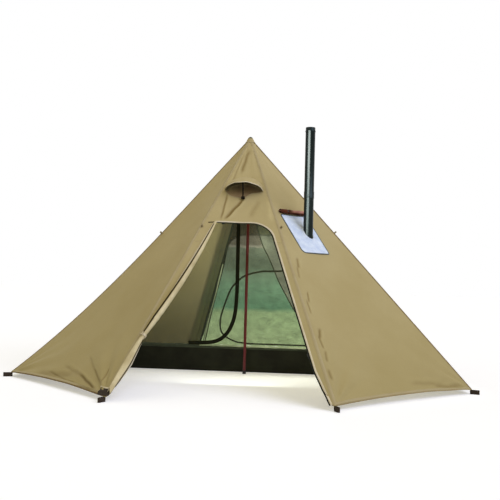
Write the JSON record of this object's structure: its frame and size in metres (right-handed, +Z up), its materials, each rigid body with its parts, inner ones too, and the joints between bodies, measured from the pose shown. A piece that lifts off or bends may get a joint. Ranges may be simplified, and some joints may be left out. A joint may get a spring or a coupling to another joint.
{
  "type": "tipi tent",
  "caption": "Octagonal centre-pole tipi tent with open doorways, hooded vents, a stove jack with its pipe and a half inner tent on a bathtub floor.",
  "frame": {"origin": "centre of the tent's floor on the ground, under the centre pole", "axes": "+Z up along the pole; the front doorway faces -Y; +X to the right for someone facing the front doorway from outside"},
  "size_m": [2.852, 2.852, 1.6],
  "materials": {
    "fly_cloth": "matt coated polyester",
    "door_cloth": "matt",
    "webbing": "matt webbing",
    "zip": "coil zip tape",
    "zip_slider": "black",
    "netting": "insect netting",
    "green_netting": "insect netting",
    "strut": "black",
    "jack_cloth": "heat-proof glass cloth",
    "jack_flap_cloth": "matt",
    "pipe_steel": "sooted",
    "pole_plastic": "black",
    "pole_tube": "dark red anodised",
    "groundsheet": "coated"
  },
  "bodies": {
    "tent": {"fly_front": "fly_cloth", "fly_front_right": "fly_cloth", "fly_right": "fly_cloth", "fly_back_right": "fly_cloth", "fly_back": "fly_cloth", "fly_back_left": "fly_cloth", "fly_left": "fly_cloth", "fly_front_left": "fly_cloth", "peak_cap": "fly_cloth", "peg_loop_1": "webbing", "peg_loop_2": "webbing", "peg_loop_3": "webbing", "peg_loop_4": "webbing", "peg_loop_5": "webbing", "peg_loop_6": "webbing", "peg_loop_7": "webbing", "peg_loop_8": "webbing", "front_door_zip": "zip", "front_door_roll": "door_cloth", "front_door_tie": "webbing", "front_vent_hood": "fly_cloth", "front_vent_net": "netting", "rear_door_zip": "zip", "rear_door_roll": "door_cloth", "rear_door_tie": "webbing", "rear_vent_hood": "fly_cloth", "rear_vent_net": "netting", "stove_jack": "jack_cloth", "jack_flap_roll": "jack_flap_cloth", "pole_foot": "pole_plastic", "pole_tip": "pole_plastic", "pole_section_1": "pole_tube", "pole_section_2": "pole_tube", "pole_section_3": "pole_tube", "pole_section_4": "pole_tube", "inner_tub": "groundsheet", "inner_right_wall": "netting", "inner_back_right_wall": "netting", "inner_back_wall": "green_netting", "inner_back_left_wall": "netting", "inner_left_wall": "netting", "inner_front_wall": "netting", "inner_hanger": "webbing", "inner_front_zip": "zip", "inner_rear_zip": "zip"},
    "front_lower_slider": {"front_lower_slider": "zip_slider"},
    "front_upper_slider": {"front_upper_slider": "zip_slider"},
    "rear_lower_slider": {"rear_lower_slider": "zip_slider"},
    "rear_upper_slider": {"rear_upper_slider": "zip_slider"},
    "inner_front_slider": {"inner_front_slider": "zip_slider"},
    "inner_rear_slider": {"inner_rear_slider": "zip_slider"},
    "front_vent_strut": {"front_vent_strut": "strut"},
    "rear_vent_strut": {"rear_vent_strut": "strut"},
    "stove_pipe_lower": {"stove_pipe_lower": "pipe_steel"},
    "stove_pipe_upper": {"stove_pipe_upper": "pipe_steel"}
  },
  "joints": [
    {"name": "front_lower_slider_run", "type": "slide", "parent": "tent", "child": "front_lower_slider", "axis": [-0.264, 0.6372, 0.7241], "range_m": [0, 0.85]},
    {"name": "front_upper_slider_run", "type": "slide", "parent": "tent", "child": "front_upper_slider", "axis": [1, 0, 0], "range_m": [0, 0.145]},
    {"name": "rear_lower_slider_run", "type": "slide", "parent": "tent", "child": "rear_lower_slider", "axis": [0.264, -0.6372, 0.7241], "range_m": [0, 0.85]},
    {"name": "rear_upper_slider_run", "type": "slide", "parent": "tent", "child": "rear_upper_slider", "axis": [-1, 0, 0], "range_m": [0, 0.145]},
    {"name": "inner_front_slider_run", "type": "slide", "parent": "tent", "child": "inner_front_slider", "axis": [0, -0.0345, 0.9994], "range_m": [0, 0.66]},
    {"name": "inner_rear_slider_run", "type": "slide", "parent": "tent", "child": "inner_rear_slider", "axis": [1, 0, 0], "range_m": [0, 0.38]},
    {"name": "front_vent_strut_fold", "type": "hinge", "parent": "tent", "child": "front_vent_strut", "pos_m": [0, -0.41549, 1.14241], "axis": [1, 0, 0], "range_deg": [0, 75]},
    {"name": "rear_vent_strut_fold", "type": "hinge", "parent": "tent", "child": "rear_vent_strut", "pos_m": [0, 0.41549, 1.14241], "axis": [-1, 0, 0], "range_deg": [0, 75]},
    {"name": "stove_pipe_height", "type": "slide", "parent": "tent", "child": "stove_pipe_lower", "axis": [0, 0, 1], "range_m": [0, 0.1]},
    {"name": "stove_pipe_upper_lift", "type": "slide", "parent": "stove_pipe_lower", "child": "stove_pipe_upper", "axis": [0, 0, 1], "range_m": [0, 0.12]}
  ]
}
